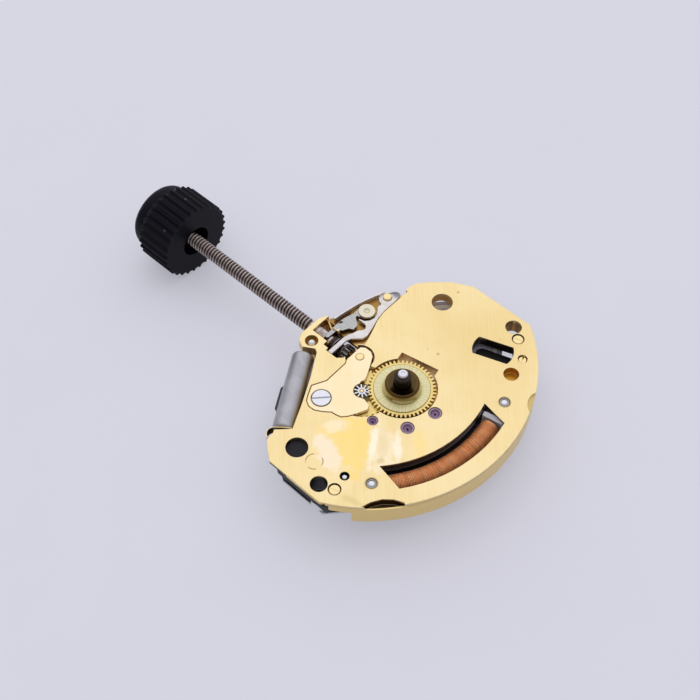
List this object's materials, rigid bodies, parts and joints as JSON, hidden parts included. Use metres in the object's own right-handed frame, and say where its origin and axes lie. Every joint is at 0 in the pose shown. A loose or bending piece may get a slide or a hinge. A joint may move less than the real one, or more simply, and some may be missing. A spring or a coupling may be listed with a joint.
{
  "type": "watch movement",
  "caption": "Small oval two-hand quartz watch movement, dial side up, with coil, crystal can, keyless works and a long threaded stem in a fluted knob.",
  "frame": {"origin": "on the axis of the hands, at the dial face of the main plate", "axes": "+X out along the stem to 3 o'clock, +Y to 12 o'clock, +Z out of the dial face"},
  "size_m": [0.0245, 0.0152, 0.0045],
  "materials": {
    "gilt_brass": "gilt, fine grained",
    "pale_bridge": "pale gilt, smooth",
    "wheel_brass": "satin",
    "washer_brass": "fine radial lines",
    "polished_steel": "polished",
    "lever_steel": "stamped, satin",
    "dark_steel": "dark, oiled",
    "black_plastic": "matte black",
    "jewel": "polished violet",
    "soft_iron": "satin grey",
    "flange_grey": "grey",
    "copper": "enamelled copper wire",
    "board": "dark laminate",
    "cover_steel": "satin",
    "can_grey": "satin",
    "cell_steel": "bright",
    "seal_white": "off-white"
  },
  "bodies": {
    "frame_body": {"main_plate": "gilt_brass", "motion_work_bridge": "pale_bridge", "bridge_screw": "polished_steel", "motion_posts": "polished_steel", "lever_spring": "lever_steel", "yoke_pin": "gilt_brass", "coil_pins": "polished_steel", "dial_screws": "gilt_brass", "plate_jewels": "jewel", "coil_core": "soft_iron", "coil_flanges": "flange_grey", "coil_winding": "copper", "coil_turns": "copper", "stator": "soft_iron", "train_bridge": "wheel_brass", "train_bridge_screws": "polished_steel", "bridge_jewels": "jewel", "circuit_holder": "black_plastic", "circuit_board": "board", "circuit_chip": "black_plastic", "circuit_cover": "cover_steel", "cover_screws": "polished_steel", "crystal_can": "can_grey", "crystal_leads": "polished_steel", "crystal_clip": "gilt_brass", "battery_can": "cell_steel", "battery_seal": "seal_white", "battery_cap": "cell_steel", "battery_contact": "cover_steel", "contact_screw": "gilt_brass", "battery_strap": "cover_steel", "strap_screws": "polished_steel", "stem_cover": "cover_steel", "stem_cover_screw": "polished_steel"},
    "hands_arbor": {"cannon_pinion": "dark_steel", "centre_arbor": "polished_steel", "centre_wheel": "wheel_brass"},
    "hour_wheel_body": {"hour_wheel": "wheel_brass", "dial_washer": "washer_brass"},
    "minute_wheel_body": {"minute_wheel": "wheel_brass", "minute_pinion": "polished_steel"},
    "setting_wheel_body": {"setting_wheel": "wheel_brass"},
    "third_wheel_body": {"third_wheel": "wheel_brass"},
    "second_wheel_body": {"second_wheel": "wheel_brass"},
    "rotor_body": {"rotor": "dark_steel"},
    "sliding_pinion_body": {"sliding_pinion": "lever_steel"},
    "stem_body": {"stem": "dark_steel", "knob": "black_plastic"},
    "setting_lever_body": {"setting_lever": "lever_steel", "lever_axle": "polished_steel"},
    "yoke_body": {"yoke": "lever_steel"}
  },
  "joints": [
    {"name": "hands_turn", "type": "hinge", "parent": "frame_body", "child": "hands_arbor", "pos_m": [0, 0, 0], "axis": [0, 0, 1], "continuous": true},
    {"name": "hour_turn", "type": "hinge", "parent": "frame_body", "child": "hour_wheel_body", "pos_m": [0, 0, 0], "axis": [0, 0, 1], "continuous": true},
    {"name": "minute_wheel_turn", "type": "hinge", "parent": "frame_body", "child": "minute_wheel_body", "pos_m": [0.00139, 0.00149, -0.0004], "axis": [0, 0, 1], "continuous": true},
    {"name": "setting_wheel_turn", "type": "hinge", "parent": "frame_body", "child": "setting_wheel_body", "pos_m": [0.00287, 0.00002, -0.0004], "axis": [0, 0, 1], "continuous": true},
    {"name": "third_wheel_turn", "type": "hinge", "parent": "frame_body", "child": "third_wheel_body", "pos_m": [-0.0002, 0.00245, -0.0011], "axis": [0, 0, 1], "continuous": true},
    {"name": "second_wheel_turn", "type": "hinge", "parent": "frame_body", "child": "second_wheel_body", "pos_m": [-0.00175, 0.0016, -0.0012], "axis": [0, 0, 1], "continuous": true},
    {"name": "rotor_turn", "type": "hinge", "parent": "frame_body", "child": "rotor_body", "pos_m": [-0.0022, 0.00002, -0.0011], "axis": [0, 0, 1], "continuous": true},
    {"name": "crown_turn", "type": "hinge", "parent": "frame_body", "child": "sliding_pinion_body", "pos_m": [0.0042, 0, -0.00064], "axis": [1, 0, 0], "continuous": true},
    {"name": "stem_pull", "type": "slide", "parent": "sliding_pinion_body", "child": "stem_body", "axis": [1, 0, 0], "range_m": [0, 0.0004]},
    {"name": "setting_lever_turn", "type": "hinge", "parent": "frame_body", "child": "setting_lever_body", "pos_m": [0.0046, -0.00245, -0.0002], "axis": [0, 0, 1], "range_deg": [-9.5, 0]},
    {"name": "yoke_turn", "type": "hinge", "parent": "frame_body", "child": "yoke_body", "pos_m": [0.00446, -0.00394, -0.0002], "axis": [0, 0, 1], "range_deg": [0, 1.9]}
  ],
  "couplings": [
    {"joint": "hour_turn", "follows": "hands_turn", "ratio": 0.083333},
    {"joint": "minute_wheel_turn", "follows": "hands_turn", "ratio": -0.4},
    {"joint": "setting_wheel_turn", "follows": "hands_turn", "ratio": 0.92308},
    {"joint": "third_wheel_turn", "follows": "hands_turn", "ratio": -4},
    {"joint": "second_wheel_turn", "follows": "hands_turn", "ratio": 12},
    {"joint": "rotor_turn", "follows": "hands_turn", "ratio": -60},
    {"joint": "setting_lever_turn", "follows": "stem_pull", "rad_per_m": -405.79},
    {"joint": "yoke_turn", "follows": "stem_pull", "rad_per_m": 78.54}
  ]
}
